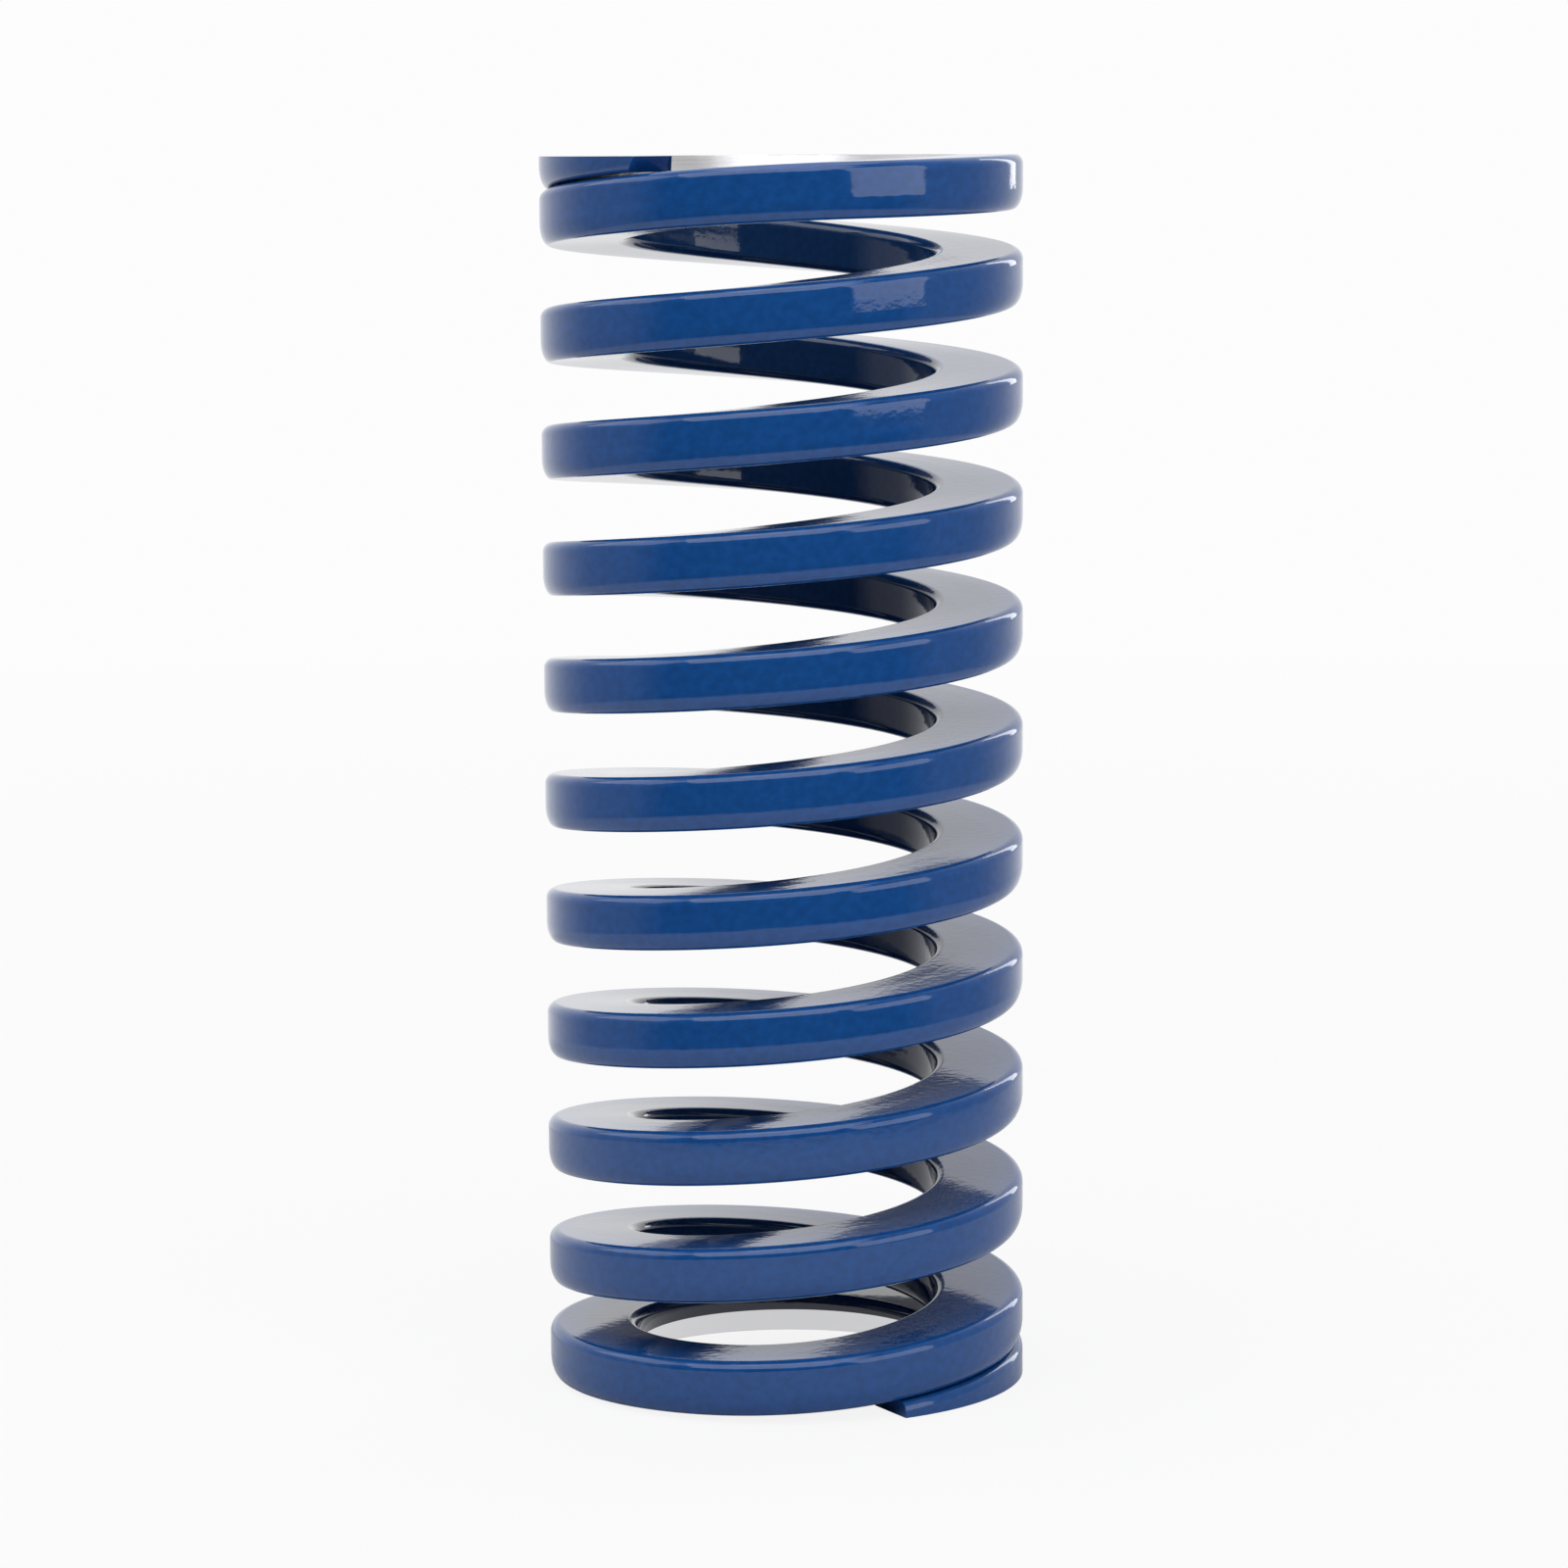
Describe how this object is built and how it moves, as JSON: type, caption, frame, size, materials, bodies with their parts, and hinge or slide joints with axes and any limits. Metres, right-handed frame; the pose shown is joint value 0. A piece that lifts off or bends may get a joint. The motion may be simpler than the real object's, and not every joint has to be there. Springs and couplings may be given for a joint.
{
  "type": "die spring",
  "caption": "Die spring: rectangular steel wire wound right-handed, enamelled blue, its ends closed and ground flat.",
  "frame": {"origin": "centre of the lower ground end, where it stands", "axes": "+Z along the spring's axis, from the lower ground end to the upper; -Y is its front"},
  "size_m": [0.025, 0.025, 0.064],
  "materials": {
    "blue_enamel": "gloss"
  },
  "bodies": {
    "root": {"coil_spring": "blue_enamel"}
  },
  "joints": []
}
